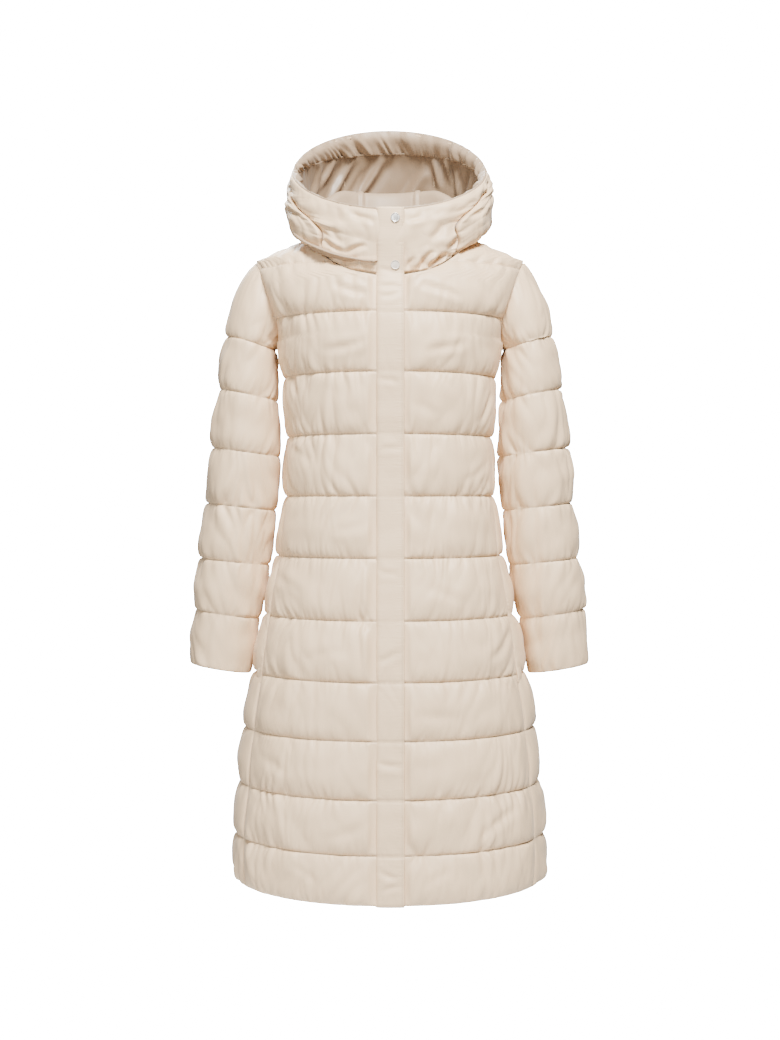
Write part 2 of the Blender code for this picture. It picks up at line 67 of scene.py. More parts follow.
# side half width, y, z; back half width, y, z; front y; how sharply it folds behind
hoodTable = np.array([
    (0.1180, 0.004, -0.003, 0.118, 0.088, -0.003, -0.117, 1),
    (0.1310, 0.006, -0.003, 0.108, 0.098, 0.030, -0.119, 1),
    (0.1450, 0.008, 0.005, 0.106, 0.109, 0.0655, -0.120, 1),
    (0.1505, 0.010, 0.017, 0.112, 0.127, 0.042, -0.121, 1),
    (0.1520, 0.011, 0.032, 0.128, 0.154, -0.003, -0.122, 1),
    (0.1525, 0.012, 0.049, 0.150, 0.203, 0.045, -0.122, 0.5),
    (0.1520, 0.013, 0.070, 0.155, 0.194, 0.125, -0.122, 0.2),
    (0.1500, 0.014, 0.0935, 0.150, 0.158, 0.183, -0.121, 0)])
collarTop, neckSquareness, rimSquareness = 0.0165, 0.55, 0.8
gussetAngle = math.radians(150)


# shapes as arrays of points

def mix(a, b, share):
    return a + (b - a) * share


def smoothStep(value):
    value = np.clip(value, 0.0, 1.0)
    return value * value * (3 - 2 * value)


def arch(share):
    return np.clip(4 * share * (1 - share), 0, 1)


def angleAt(x, half):
    # the angle at which a section of this half width is x wide
    return np.arcsin(np.clip(x / half, 0, 1) ** (roundness / 2))


def smoothTable(table, at):
    keys = table[:, 0]
    at = np.clip(at, keys[0], keys[-1])
    i = np.clip(np.searchsorted(keys, at, side="right") - 1, 0, len(keys) - 2)
    before, after = np.maximum(i - 1, 0), np.minimum(i + 2, len(keys) - 1)
    span = keys[i + 1] - keys[i]
    s = (at - keys[i]) / span
    values = []
    for column in range(1, table.shape[1]):
        c = table[:, column]
        start = (c[i + 1] - c[before]) / (keys[i + 1] - keys[before]) * span
        end = (c[after] - c[i]) / (keys[after] - keys[i]) * span
        a, b = c[i], c[i + 1]
        values.append(a + s * (start + s * (3 * (b - a) - 2 * start - end + s * (2 * (a - b) + start + end))))
    return values


def signedPower(value, exponent):
    return np.sign(value) * np.abs(value) ** exponent


def section(level, back):
    half, frontDepth, backDepth = smoothTable(bodyTable, level)
    depth = backDepth if back else frontDepth
    seam = smoothTable(sideSeamTable, level)[0]
    lowEdge = np.arccos(np.clip(seam / frontDepth, 0, 1) ** (roundness / 2))
    height = np.clip((level - armholeMiddle) / armholeHalf, -1, 1)
    x = armpitX + (shoulderX - armpitX) * ((1 + height) / 2) ** armholeBend
    reach = armholeDepth * np.sqrt(1 - height * height)
    above = level >= shoulderLine
    x = np.where(above, mix(shoulderX, neckX, (level - shoulderLine) / (neckTop - shoulderLine)), x)
    reach = np.where(above, 0, reach)
    inset = reach / (depth + (-armLine if back else armLine))
    highHalf = x / (1 - inset ** roundness) ** (1 / roundness)
    highEdge = angleAt(x, highHalf)
    if back:
        highEdge = math.pi - highEdge
    low = level <= underarm
    return np.where(low, half, highHalf), depth, np.where(low, 0.0, armLine), np.where(low, lowEdge, highEdge)


def bodyPoint(level, angle, back):
    half, depth, middle, _ = section(level, back)
    frontDepth = smoothTable(bodyTable, level)[1]
    x = half * signedPower(np.sin(angle), 2 / roundness)
    ahead = np.cos(angle) > 0
    reach = np.where(ahead, frontDepth + middle, depth - middle)
    y = middle - reach * signedPower(np.cos(angle), 2 / roundness)
    z = level + sideLift * (waistLine - level) * np.sin(angle) ** 2
    return np.stack(np.broadcast_arrays(x, y, z), -1)


def crossed(first, second):
    normal = np.cross(first, second)
    return normal / np.maximum(np.linalg.norm(normal, axis=-1, keepdims=True), 1e-12)


def bodyNormal(level, angle, back, step=0.002):
    roundIt = bodyPoint(level, angle + step, back) - bodyPoint(level, angle - step, back)
    up = bodyPoint(np.minimum(level + step, neckTop), angle, back) - bodyPoint(level - step, angle, back)
    return crossed(roundIt, up)


def sleevePoint(ring, turn):
    keyed = np.column_stack([np.arange(len(sleeveTable)), sleeveTable])
    outerX, outerZ, innerX, innerZ, deep, y = smoothTable(keyed, ring)
    c, s = np.cos(turn), np.sin(turn)
    x = (outerX + innerX) / 2 + (outerX - innerX) / 2 * c
    z = (outerZ + innerZ) / 2 + (outerZ - innerZ) / 2 * c
    return np.stack(np.broadcast_arrays(x, y - deep * s, z), -1)


def sleeveNormal(ring, turn, step=0.02):
    last = len(sleeveTable) - 1
    along = sleevePoint(np.minimum(ring + step, last), turn) - sleevePoint(np.maximum(ring - step, 0), turn)
    return crossed(sleevePoint(ring, turn + step) - sleevePoint(ring, turn - step), along)


def neckPoint(angle):
    level = neckTop - neckDrop * np.cos(angle)
    cosine = np.clip((neckTop - level) / neckDrop, -1, 1)
    inner = neckX * np.sqrt(1 - cosine ** 2)
    return bodyPoint(level, angleAt(inner, section(level, False)[0]), False)


def hoodRing(index, angle):
    sideX, sideY, sideZ, backX, backY, backZ, frontY, sharp = hoodTable[index]
    s, c = np.sin(angle), np.cos(angle)
    if index == 0:
        second = math.acos((neckTop - neckSecond) / neckDrop)
        first, last = neckPoint(np.array(0.0)), neckPoint(np.array(second))
        chord = first + (last - first) * (s / math.sin(second))[..., None]
        ahead = neckPoint(np.minimum(angle, math.pi / 2))
        behind = bodyPoint(np.full_like(angle, neckTop), np.maximum(angle, math.pi / 2 + 1e-6), True)
        return np.where((angle < second)[..., None], chord, np.where((c > 0)[..., None], ahead, behind))
    height = index / (len(hoodTable) - 1)
    forward = np.maximum(c, 0) ** mix(neckSquareness, rimSquareness, height)
    frontZ = mix(neckFront, collarTop, height)
    front = (sideX * s, mix(sideY, frontY, forward), mix(sideZ, frontZ, np.maximum(c, 0)))
    folded = mix(-c, smoothStep(-c / 0.78), sharp)
    behind = (mix(sideX, backX, smoothStep(-c / 0.7)) * s, mix(sideY, backY, -c), mix(sideZ, backZ, folded))
    return np.stack([np.where(c > 0, f, b) for f, b in zip(front, behind)], -1)


def hoodPoint(angle, height):
    angle, height = np.broadcast_arrays(angle, height)
    rings = np.stack([hoodRing(k, angle) for k in range(len(hoodTable))])
    at = np.clip(height, 0, 1) * (len(hoodTable) - 1)
    i = np.clip(at.astype(int), 0, len(hoodTable) - 2)
    s = (at - i)[..., None]
    one = (1, *rings.shape[1:])
    take = lambda k: np.take_along_axis(rings, np.broadcast_to(k[None, ..., None], one), 0)[0]
    low, high = np.maximum(i - 1, 0), np.minimum(i + 2, len(hoodTable) - 1)
    a, b = take(i), take(i + 1)
    start = (b - take(low)) / (i + 1 - low)[..., None]
    end = (take(high) - a) / (high - i)[..., None]
    return a + s * (start + s * (3 * (b - a) - 2 * start - end + s * (2 * (a - b) + start + end)))


def hoodNormal(angle, height, step=0.07):
    height = np.clip(height, step, 1 - step)
    up = hoodPoint(angle, height + step) - hoodPoint(angle, height - step)
    return crossed(hoodPoint(angle + step, height) - hoodPoint(angle - step, height), up)


# how padded cloth lies over its stitched lines

def softNoise(x, y, seed):
    # smooth hills and hollows from about -1 to 1
    turns = np.random.default_rng(seed).uniform(0, 2 * math.pi, (64, 64))
    xi, yi = np.floor(x).astype(int), np.floor(y).astype(int)
    fx, fy = x - xi, y - yi

    def corner(i, j):
        turn = turns[(xi + i) % 64, (yi + j) % 64]
        return np.cos(turn) * (fx - i) + np.sin(turn) * (fy - j)

    ease = lambda t: t * t * t * (t * (6 * t - 15) + 10)
    low = mix(corner(0, 0), corner(1, 0), ease(fx))
    high = mix(corner(0, 1), corner(1, 1), ease(fx))
    return 1.5 * mix(low, high, ease(fy))


# spacing, depth and reach of the fine, middle and wide folds beside a stitched line
foldScales = ((0.0065, 0.0020, 0.008), (0.013, 0.0046, 0.018), (0.028, 0.0070, 0.050))


def gathers(along, away, seed, strength=1.0, slant=0.12):
    # gathered cloth beside a stitched line: fine at the line, merging into wider folds further off
    total, away = 0, np.maximum(away, 0)
    for k, (spacing, depth, reach) in enumerate(foldScales):
        bent = along + slant * away * softNoise(along / 0.06, away * 0 + 0.5, seed + 70 + k) * 6
        wave = softNoise(bent / spacing, away / 0.09 + 3.3 * k, seed + k)
        patch = 0.55 + 0.9 * np.clip(softNoise(along / 0.075, away * 0 + 5.5, seed + 40 + k) + 0.35, 0, 1)
        total = total + depth * patch * (np.abs(wave) - 0.42) * np.exp(-(away / reach) ** 1.3)
    return strength * total * (0.25 + 0.75 * (1 - np.exp(-away / 0.002)))


def creased(along, level, table):
    # each row: start and end of a crease, its width and its depth
    total = 0
    for startS, startZ, endS, endZ, width, depth in table:
        ds, dz = endS - startS, endZ - startZ
        length = math.hypot(ds, dz)
        share = ((along - startS) * ds + (level - startZ) * dz) / length ** 2
        across = ((along - startS) * dz - (level - startZ) * ds) / length
        across = across + width * 0.35 * np.sin(share * 5 + startZ * 90)
        taper = arch(share) ** 0.8
        q = across / width
        total = total - depth * taper * (np.exp(-q * q) - 0.55 * np.exp(-((np.abs(q) - 2.1) ** 2) / 1.6))
    return total


def channelPlace(level, lines):
    # where a level lies between its two stitched lines, their distance and the channel's number
    i = np.clip(np.searchsorted(lines, level, side="right") - 1, 0, len(lines) - 2)
    return (level - lines[i]) / (lines[i + 1] - lines[i]), lines[i + 1] - lines[i], i


def pillow(rise, sharpness=0.5):
    return arch(rise) ** sharpness * (1.10 - 0.22 * rise)  # fuller below its middle


def spacedRows(lines, step, gather=0.6):
    # rows of points, closer together beside each stitched line
    rows = []
    for low, high in zip(lines, lines[1:]):
        count = max(2, round((high - low) / step))
        even = np.arange(count) / count
        rows.append(mix(low, high, mix(even, (1 - np.cos(math.pi * even)) / 2, gather)))
    return np.concatenate([*rows, [lines[-1]]])


def runLength(points):
    step = np.linalg.norm(np.diff(points, axis=1), axis=-1)
    return np.concatenate([np.zeros((len(points), 1)), np.cumsum(step, axis=1)], axis=1)


# materials

class Wire:
    # one output of a node; sums and products of wires add their own Math nodes
    def __init__(self, tree, socket=None):
        self.tree, self.socket = tree, socket

    def node(self, kind, settings, inputs, output=0):
        made = self.tree.nodes.new(kind)
        for name, value in settings.items():
            setattr(made, name, value)
        for name, value in inputs.items():
            if isinstance(value, Wire):
                self.tree.links.new(value.socket, made.inputs[name])
            else:
                made.inputs[name].default_value = value
        return Wire(self.tree, made.outputs[output])

    def maths(self, operation, *others):
        return self.node("ShaderNodeMath", {"operation": operation}, dict(enumerate([self, *others])))

    def __add__(self, other):
        return self.maths("ADD", other)

    def __mul__(self, other):
        return self.maths("MULTIPLY", other)

    def __sub__(self, other):
        return self.maths("SUBTRACT", other)

    def __rsub__(self, other):
        return self * -1 + other

    def __truediv__(self, other):
        return self.maths("DIVIDE", other)

    __radd__ = __add__


def newMaterial(name, values):
    material = bpy.data.materials.new(name)
    material.use_nodes = True
    shader = material.node_tree.nodes["Principled BSDF"]
    for socket, value in values.items():
        shader.inputs[socket].default_value = value
    return material, shader, Wire(material.node_tree)


def clothMaterial(name, look):
    # woven nylon: a fine even bump, small wrinkles that stand off the stitched lines, and the stitches
    material, shader, start = newMaterial(name, {
        "Base Color": look["colour"], "Roughness": look["roughness"], "Sheen Weight": look["sheen"],
        "Sheen Roughness": 0.4, "Specular IOR Level": look["specular"]})
    along = start.node("ShaderNodeAttribute", {"attribute_name": "along"}, {}, "Fac")
    away = start.node("ShaderNodeAttribute", {"attribute_name": "away"}, {}, "Fac")
    place = start.node("ShaderNodeTexCoord", {}, {}, "Object")
    clouds = place.node("ShaderNodeTexNoise", {}, {"Vector": place, "Scale": look["cloudScale"],
                                                   "Detail": 3.0}, "Fac")
    wrinklePlace = along.node("ShaderNodeCombineXYZ", {}, {"X": along * 330, "Y": away * 45})
    wrinkles = along.node("ShaderNodeTexNoise", {"noise_dimensions": "2D"},
                          {"Vector": wrinklePlace, "Scale": 1.0, "Detail": 2.0}, "Fac")
    nearSeam = (away * -1 / look["wrinkleReach"]).maths("EXPONENT")
    crinkle = place.node("ShaderNodeTexNoise", {}, {"Vector": place, "Scale": look["crinkleScale"],
                                                    "Detail": 3.0, "Distortion": 0.6}, "Fac")
    dash = ((along / look["stitchLength"]).maths("FRACT") - 0.5).maths("ABSOLUTE").maths("LESS_THAN", 0.34)
    groove = 1 - (away / look["grooveWidth"]).maths("MINIMUM", 1.0)
    thread = dash * groove * look["stitches"]
    height = wrinkles * nearSeam * look["wrinkles"] + crinkle * look["crinkle"]
    height = height - groove * 0.35 + thread * 0.5
    bump = height.node("ShaderNodeBump", {}, {"Height": height, "Strength": look["bump"],
                                              "Distance": look["bumpDepth"]}, "Normal")
    # colour: random tone from the clouds, the stitches 12% darker, and the stitched groove 10% darker as painted
    # shade
    shade = 1 + (clouds - 0.5) * 0.10 - thread * 0.12 - groove * 0.10
    tinted = shade.node("ShaderNodeVectorMath", {"operation": "SCALE"},
                        {0: look["colour"][:3], "Scale": shade}, "Vector")
    links = material.node_tree.links
    links.new(tinted.socket, shader.inputs["Base Color"])
    links.new(bump.socket, shader.inputs["Normal"])
    rough = (clouds - 0.5) * 0.12 + look["roughness"]
    links.new(rough.socket, shader.inputs["Roughness"])
    return material


shellLook = {"colour": (0.74, 0.535, 0.325, 1), "roughness": 0.5, "sheen": 0.12, "specular": 0.42,
             "wrinkles": 1.0, "wrinkleReach": 0.014, "crinkle": 0.16,
             "crinkleScale": 75.0, "cloudScale": 9.0, "bump": 0.55, "bumpDepth": 0.0012,
             "grooveWidth": 0.0011, "stitches": 1.0, "stitchLength": 0.0032}
# the lining, taken as the shell's cloth, darkened to about a third of its colour: painted shade for the hood's
# shaded inside
liningShadedLook = {**shellLook, "colour": (0.24, 0.162, 0.097, 1), "roughness": 0.42, "sheen": 0.1,
              "wrinkles": 0.5, "stitches": 0.0}
# the shell's cloth at half its colour: painted shade for the rim roll, which sits in shade, also used for the stand
# behind the neck
rimShadedLook = {**shellLook, "colour": (0.37, 0.262, 0.165, 1), "wrinkles": 1.4, "stitches": 0.0}
shell, lining = clothMaterial("shellNylon", shellLook), clothMaterial("liningNylonPaintedShade", liningShadedLook)
rimShadedShell = clothMaterial("rimNylonPaintedShade", rimShadedLook)
print("coat: materials made")


# from arrays to pieces

def newObject(name, bm, material):
    mesh = bpy.data.meshes.new(name)
    bm.to_mesh(mesh)
    bm.free()
    mesh.materials.append(material)
    made = bpy.data.objects.new(name, mesh)
    bpy.context.scene.collection.objects.link(made)
    return made


def clothPiece(name, points, along, away, materials, thickness, closed=False, innerLining=True):
    # a grid of points as a wall of cloth, solidified inwards from its outer face
    rows, columns = points.shape[:2]
    bm = bmesh.new()
    bmesh.ops.create_grid(bm, x_segments=columns - 1, y_segments=rows - 1, size=0.5)
    mesh = bpy.data.meshes.new(name)
    bm.to_mesh(mesh)
    mesh.vertices.foreach_set("co", points.reshape(-1).astype(np.float32))
    for title, values in (("along", along), ("away", away)):
        attribute = mesh.attributes.new(title, "FLOAT", "POINT")
        values = np.broadcast_to(values, (rows, columns)).reshape(-1)
        attribute.data.foreach_set("value", values.astype(np.float32))
    bm.clear()
    bm.from_mesh(mesh)
    if closed:
        bmesh.ops.remove_doubles(bm, verts=bm.verts[:], dist=1e-6)
    for face in bm.faces:
        face.smooth = True
    bm.to_mesh(mesh)
    bm.free()
    for material in materials:
        mesh.materials.append(material)
    piece = bpy.data.objects.new(name, mesh)
    bpy.context.scene.collection.objects.link(piece)
    if thickness:
        wall = piece.modifiers.new("wall", "SOLIDIFY")
        wall.thickness, wall.offset, wall.use_rim = thickness, -1, True
        wall.material_offset = 1 if innerLining and len(materials) > 1 else 0
    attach(piece, "root")
    return piece


def mirrored(points, side):
    if side > 0:
        return points
    flipped = points[:, ::-1].copy()
    flipped[..., 0] *= -1
    return flipped


def turnedRound(values, side):
    return values if side > 0 else values[:, ::-1]


# the body: two fronts and a back

bodyLook = {"puff": 0.0095, "yokePuff": 0.004, "seamSink": 0.0012, "edgePull": 0.014, "thickness": 0.004,
            "seamWidth": 0.0018, "border": 0.003, "softDepth": 0.0018, "topClear": 0.0004, "rowStep": 0.0034,
            "frontColumns": 118, "backColumns": 158, "flatEdge": 0.0232, "flatFade": 0.010, "flatRise": 0.0012}


def bodyRows():
    return spacedRows(quiltLines, bodyLook["rowStep"])


def bodySurface(level, along, edgeDistance, seed, creases, flat=None):
    # the padded outer face: full channels, gathers beside every stitched line, and the creases
    rise, tall, channel = channelPlace(level, quiltLines)
    low, high = rise * tall, (1 - rise) * tall
    fullness = np.where(channel == len(quiltLines) - 2, bodyLook["yokePuff"], bodyLook["puff"])
    uneven = 1 + 0.22 * softNoise(along / 0.085, channel * 1.7 + rise * 0.8, seed)
    pulled = 1 - np.exp(-edgeDistance / bodyLook["edgePull"])
    out = fullness * pillow(rise) * uneven * (0.12 + 0.88 * pulled)
    gathered = 0
    for distance, line in ((low, channel), (high, channel + 1)):
        for number in range(len(quiltLines)):
            here = line == number
            if here.any():
                gathered = gathered + np.where(here, gathers(along, distance, seed + 11 * number, 1.0), 0)
    soft = bodyLook["softDepth"] * softNoise(along / 0.05, level / 0.035, seed + 5)
    soft = soft * np.minimum(pulled, pillow(rise))
    out = out + gathered * (0.2 + 0.8 * pulled) + soft + creased(along, level, creases)
    nearest = np.minimum(np.minimum(low, high), edgeDistance)
    out = out - bodyLook["seamSink"] * np.exp(-nearest / bodyLook["seamWidth"])
    if flat is not None:
        out = mix(np.minimum(out, bodyLook["flatRise"]), out, flat)
    border = smoothStep(edgeDistance / bodyLook["border"])
    return mix(-bodyLook["seamSink"], out, border), np.minimum(low, high)


# start and end along and up, width, depth; along runs from the centre front
frontCreases = {
    -1: ((0.056, -0.085, 0.020, -0.104, 0.003, 0.0016), (0.030, -0.115, 0.085, -0.098, 0.0045, 0.0030),
         (0.028, -0.180, 0.10, -0.196, 0.005, 0.0022),
         (0.15, -0.26, 0.185, -0.20, 0.005, 0.0030), (0.12, -0.36, 0.17, -0.335, 0.005, 0.0011),
         (0.03, -0.45, 0.09, -0.47, 0.006, 0.0011), (0.13, -0.56, 0.2, -0.53, 0.006, 0.0013),
         (0.06, -0.64, 0.13, -0.655, 0.006, 0.001), (0.15, -0.83, 0.21, -0.8, 0.006, 0.0013),
         (0.03, -0.9, 0.1, -0.915, 0.006, 0.0012), (0.1, -0.985, 0.15, -0.955, 0.005, 0.0011)),
    1: ((0.053, -0.081, 0.023, -0.107, 0.003, 0.0016), (0.040, -0.095, 0.11, -0.118, 0.0045, 0.0028),
        (0.05, -0.20, 0.12, -0.178, 0.005, 0.0022),
        (0.14, -0.30, 0.185, -0.25, 0.005, 0.0030), (0.03, -0.275, 0.08, -0.29, 0.006, 0.001),
        (0.11, -0.39, 0.17, -0.36, 0.005, 0.0012), (0.05, -0.55, 0.12, -0.57, 0.006, 0.0011),
        (0.15, -0.66, 0.21, -0.62, 0.006, 0.0025), (0.04, -0.73, 0.11, -0.745, 0.006, 0.0011),
        (0.13, -0.92, 0.20, -0.88, 0.006, 0.0024), (0.05, -0.985, 0.09, -0.96, 0.005, 0.0011))}
backCreases = ((-0.16, -0.30, -0.09, -0.27, 0.006, 0.0028), (0.07, -0.35, 0.15, -0.385, 0.006, 0.0026),
               (-0.05, -0.18, 0.05, -0.20, 0.006, 0.0022), (-0.17, -0.47, -0.10, -0.44, 0.006, 0.0026),
               (0.08, -0.62, 0.16, -0.65, 0.006, 0.0024), (-0.12, -0.80, -0.03, -0.82, 0.007, 0.0022),
               (0.05, -0.91, 0.16, -0.89, 0.007, 0.0024), (-0.20, -0.70, -0.13, -0.66, 0.006, 0.0024))


def makeFront(hand, side):
    level = bodyRows()[:, None]
    level[-1] -= bodyLook["topClear"]
    half, _, _, edge = section(level, False)
    cosine = np.clip((neckTop - level) / neckDrop, 0, 1)
    inner = np.where(level > neckFront, neckX * np.sqrt(1 - cosine ** 2), 0)
    start = angleAt(inner, half)
    share = np.linspace(0, 1, bodyLook["frontColumns"])[None, :]
    angle = mix(start, edge, share)
    base = bodyPoint(level, angle, False)
    along = runLength(base) + np.abs(base[:, :1, 0])
    toEdge = runLength(base)[:, -1:] - runLength(base)
    toNeck = np.where(level > neckFront, runLength(base), 1.0)
    nearest = np.minimum(toEdge, toNeck)
    flat = smoothStep((base[..., 0] - bodyLook["flatEdge"]) / bodyLook["flatFade"])  # under the placket
    out, away = bodySurface(level + 0 * angle, along, nearest, 100 if side < 0 else 300,
                            frontCreases[side], flat)
    points = base + bodyNormal(level, angle, False) * out[..., None]
    away = np.minimum(away, nearest)
    piece = clothPiece(f"front_panel_{hand}", mirrored(points, side), turnedRound(along, side),
                       turnedRound(away, side), (shell, lining), bodyLook["thickness"])
    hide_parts(f"front_{hand}")


def makeBack():
    level = bodyRows()[:, None]
    level[-1] -= bodyLook["topClear"]
    edge = section(level, True)[3]
    share = np.linspace(-1, 1, bodyLook["backColumns"])[None, :]
    angle = mix(math.pi, edge, np.abs(share))
    base = bodyPoint(level, angle, True)
    base[..., 0] *= np.where(share > 0, -1, 1)
    run = runLength(base)
    along = run - run[:, -1:] / 2
    nearest = np.minimum(run, run[:, -1:] - run)
    nearest = np.minimum(nearest, np.where(level > shoulderLine, (neckTop - level) * 2.2 + 0 * run, 1.0))
    out, away = bodySurface(level + 0 * angle, along, nearest, 500, backCreases)
    normal = bodyNormal(level, angle, True)
    normal[..., 0] *= np.where(share > 0, -1, 1)
    piece = clothPiece("back_panel", base + normal * out[..., None], along, np.minimum(away, nearest),
                       (shell, lining), bodyLook["thickness"])
    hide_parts("back")


for hand, side in (("right", -1), ("left", 1)):
    makeFront(hand, side)
makeBack()
print("coat: body panels made")

# the sleeves

sleeveLook = {"puff": 0.0075, "cuffPuff": 0.0035, "capPuff": 0.014, "thickness": 0.004, "columns": 150,
              "capRows": 44, "rowsPerChannel": 26, "channelHeight": 0.085, "softDepth": 0.002,
              "capSoftDepth": 0.0025, "seamSink": 0.0012, "seamWidth": 0.0018, "crown": (0.45, 0, 0.89)}
# start and end, each round the arm and then down it in channels, width, depth
sleeveCreases = {
    -1: ((0.06, 0.6, 0.11, 0.35, 0.006, 0.003), (0.14, 1.55, 0.09, 1.3, 0.006, 0.0025),
         (0.10, 2.4, 0.16, 2.7, 0.006, 0.003), (0.12, 3.6, 0.07, 3.3, 0.006, 0.0025)),
    1: ((0.12, 0.35, 0.07, 0.7, 0.006, 0.003), (0.08, 1.3, 0.14, 1.6, 0.006, 0.0025),
        (0.14, 2.7, 0.09, 2.4, 0.006, 0.003), (0.08, 3.3, 0.13, 3.55, 0.006, 0.0025))}


def makeSleeve(hand, side):
    turn = np.linspace(-math.pi, math.pi, sleeveLook["columns"])[None, :]
    seed = 700 if side < 0 else 800
    # the armhole seam, on the body's own edge
    level = np.clip(armholeMiddle + armholeHalf * np.cos(turn), underarm + 1e-6, shoulderLine - 1e-6)
    seams = []
    for back in (False, True):
        edge = section(level, back)[3]
        sunk = bodyNormal(level, edge, back) * bodyLook["seamSink"]
        seams.append(bodyPoint(level, edge, back) - sunk)
    seam = np.where((turn > 0)[..., None], *seams)
    firstRing = sleevePoint(np.zeros_like(turn), turn)
    top = (1 + np.cos(turn)) / 2
    share = (1 - np.cos(math.pi * np.arange(sleeveLook["capRows"]) / sleeveLook["capRows"]))[:, None] / 2
    swell = sleeveLook["capPuff"] * top * arch(share) ** 0.55
    cap = mix(seam, firstRing, share[..., None])
    firstNormal = sleeveNormal(np.zeros_like(turn), turn)
    crown = np.array(sleeveLook["crown"]) * top[..., None] + firstNormal * (1 - top[..., None])
    capNormal = mix(crown, firstNormal, smoothStep(share / 0.6)[..., None])
    lines = np.arange(len(sleeveTable)).astype(float)
    ring = spacedRows(lines, 1 / sleeveLook["rowsPerChannel"])[:, None]
    tube = sleevePoint(ring + 0 * turn, turn)
    girth = runLength(tube)
    along = np.concatenate([np.repeat(girth[:1], len(share), 0), girth])
    rise, _, channel = channelPlace(ring + 0 * turn, lines)
    tall = sleeveLook["channelHeight"]
    low, high = rise * tall, (1 - rise) * tall
    full = np.where(channel == len(lines) - 2, sleeveLook["cuffPuff"], sleeveLook["puff"])
    outer = 0.45 + 0.55 * top
    uneven = 1 + 0.25 * softNoise(girth / 0.07, ring * 1.9, seed)
    out = full * pillow(1 - rise) * outer * uneven
    for distance, line in ((low, channel), (high, channel + 1)):
        for number in range(len(lines)):
            here = line == number
            out = out + np.where(here, gathers(girth, distance, seed + 13 * number, 1.05), 0)
    out = out + sleeveLook["softDepth"] * softNoise(girth / 0.045, ring * 2.3, seed + 3) * pillow(rise)
    creases = [(a, b * tall, c, d * tall, w, e) for a, b, c, d, w, e in sleeveCreases[side]]
    out = out + creased(girth, ring * tall, creases)
    out = out - sleeveLook["seamSink"] * np.exp(-np.minimum(low, high) / sleeveLook["seamWidth"])
    tubePoints = tube + sleeveNormal(ring + 0 * turn, turn) * out[..., None]
    # the cap's own gathers, at the armhole seam and at the first stitched ring
    capLength = np.linalg.norm(firstRing - seam, axis=-1)
    capLow, capHigh = share * capLength, (1 - share) * capLength
    capGirth = np.repeat(girth[:1], len(share), 0)
    capOut = swell + gathers(capGirth, capLow, seed + 201, 1.0) * smoothStep(capLow / 0.003)
    capOut = capOut + gathers(capGirth, capHigh, seed, 1.0) * smoothStep(capLow / 0.01)
    capSoft = sleeveLook["capSoftDepth"] * softNoise(capGirth / 0.05, share * 2.1, seed + 9)
    capOut = capOut + capSoft * smoothStep(capLow / 0.02)
    capPoints = cap + capNormal * capOut[..., None]
    points = np.concatenate([capPoints, tubePoints])
    away = np.concatenate([np.minimum(capLow, capHigh), np.minimum(low, high)])
    points[:, -1] = points[:, 0]
    # rows run down the arm, so they are turned over to keep the faces outwards
    points, away, along = points[::-1], away[::-1], along[::-1]
    points = points if side > 0 else mirrored(points, side)
    piece = clothPiece(f"arm_sleeve_{hand}", points[:, ::-1], along[:, ::-1], away[:, ::-1], (shell, lining),
                       sleeveLook["thickness"], closed=True)
    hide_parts(f"sleeve_{hand}")


for hand, side in (("right", -1), ("left", 1)):
    makeSleeve(hand, side)
print("coat: sleeves made")

# the collar, the hood, its rolled rim and its lining

hoodLook = {"columns": 64, "sideColumns": 96, "backColumns": 72, "rows": 120, "collarPuff": 0.0055,
            "sidePuff": 0.0080, "backPuff": 0.0060, "seamSink": 0.0028, "seamReach": 0.016, "edgeReach": 0.012,
            "softDepth": 0.0028, "foldDepth": 0.0085, "foldReach": 0.016, "tuck": 0.006, "topTuck": 0.0025,
            "thickness": 0.0035}
# start and end along and up, width, depth; along runs from the centre front, or round the back
collarCreases = {
    -1: ((0.110, -0.028, 0.066, -0.049, 0.0040, 0.0045), (0.070, -0.050, 0.033, -0.038, 0.0035, 0.0032),
         (0.104, -0.045, 0.058, -0.064, 0.0040, 0.0026), (0.078, -0.058, 0.030, -0.064, 0.0035, 0.0008),
         (0.058, 0.011, 0.020, -0.007, 0.0040, 0.0022), (0.090, -0.012, 0.072, -0.036, 0.0050, 0.0022)),
    1: ((0.128, -0.008, 0.088, -0.046, 0.0045, 0.0055), (0.094, -0.047, 0.058, -0.071, 0.0038, 0.0052),
        (0.084, -0.006, 0.060, -0.032, 0.0055, 0.0030), (0.066, -0.045, 0.042, -0.076, 0.0038, 0.0042),
        (0.050, 0.008, 0.026, -0.006, 0.0040, 0.0016), (0.036, -0.055, 0.026, -0.075, 0.0035, 0.0024))}
hoodSideCreases = {
    -1: ((0.02, 0.012, 0.09, 0.034, 0.006, 0.0030), (0.05, 0.055, 0.12, 0.040, 0.006, 0.0028),
         (0.12, 0.02, 0.17, 0.055, 0.006, 0.0034), (0.03, 0.08, 0.10, 0.10, 0.007, 0.0022)),
    1: ((0.01, 0.004, 0.05, 0.020, 0.005, 0.0040), (0.04, 0.040, 0.11, 0.058, 0.006, 0.0028),
        (0.11, 0.035, 0.18, 0.015, 0.006, 0.0034), (0.05, 0.085, 0.12, 0.075, 0.007, 0.0022))}
hoodBackCreases = ((-0.07, 0.10, 0.02, 0.07, 0.008, 0.0034), (0.00, 0.14, 0.08, 0.11, 0.007, 0.0030),
                   (-0.08, 0.05, -0.01, 0.03, 0.007, 0.0032), (0.02, 0.045, 0.08, 0.02, 0.007, 0.0030))


# height up the hood, angle of the seam between collar and side; each side folds a little differently
hoodSeams = {-1: np.array([(0, 50), (0.3, 45), (0.5, 42), (0.62, 47), (0.70, 57), (0.78, 74), (1, 98)]),
             1: np.array([(0, 50), (0.35, 45), (0.60, 41), (0.72, 46), (0.80, 57), (0.88, 74), (1, 98)])}


def hoodSeam(height, side):
    return np.radians(smoothTable(hoodSeams[side].astype(float), height)[0])


